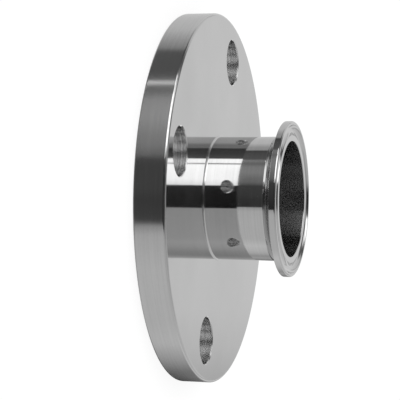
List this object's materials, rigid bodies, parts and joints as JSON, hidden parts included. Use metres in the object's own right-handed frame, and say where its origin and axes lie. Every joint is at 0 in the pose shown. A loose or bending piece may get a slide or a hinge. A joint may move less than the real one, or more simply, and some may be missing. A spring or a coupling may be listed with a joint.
{
  "type": "flange to clamp adapter",
  "caption": "Round drilled plate flange with a short tube welded through its centre, ending in a grooved clamp lip, for joining bolted and clamped pipework.",
  "frame": {"origin": "centre of the flange's flat back face, on the axis of the bore", "axes": "+Z along the bore towards the clamp lip; the four bolt holes straddle +X and +Y"},
  "size_m": [0.1524, 0.1524, 0.0438],
  "materials": {
    "flange_steel": "polished faces, fine turned rim",
    "ferrule_steel": "mirror polished",
    "weld_steel": "polished weld"
  },
  "bodies": {
    "root": {"flange_plate": "flange_steel", "clamp_ferrule": "ferrule_steel", "fillet_weld": "weld_steel", "seal_weld": "weld_steel"}
  },
  "joints": []
}
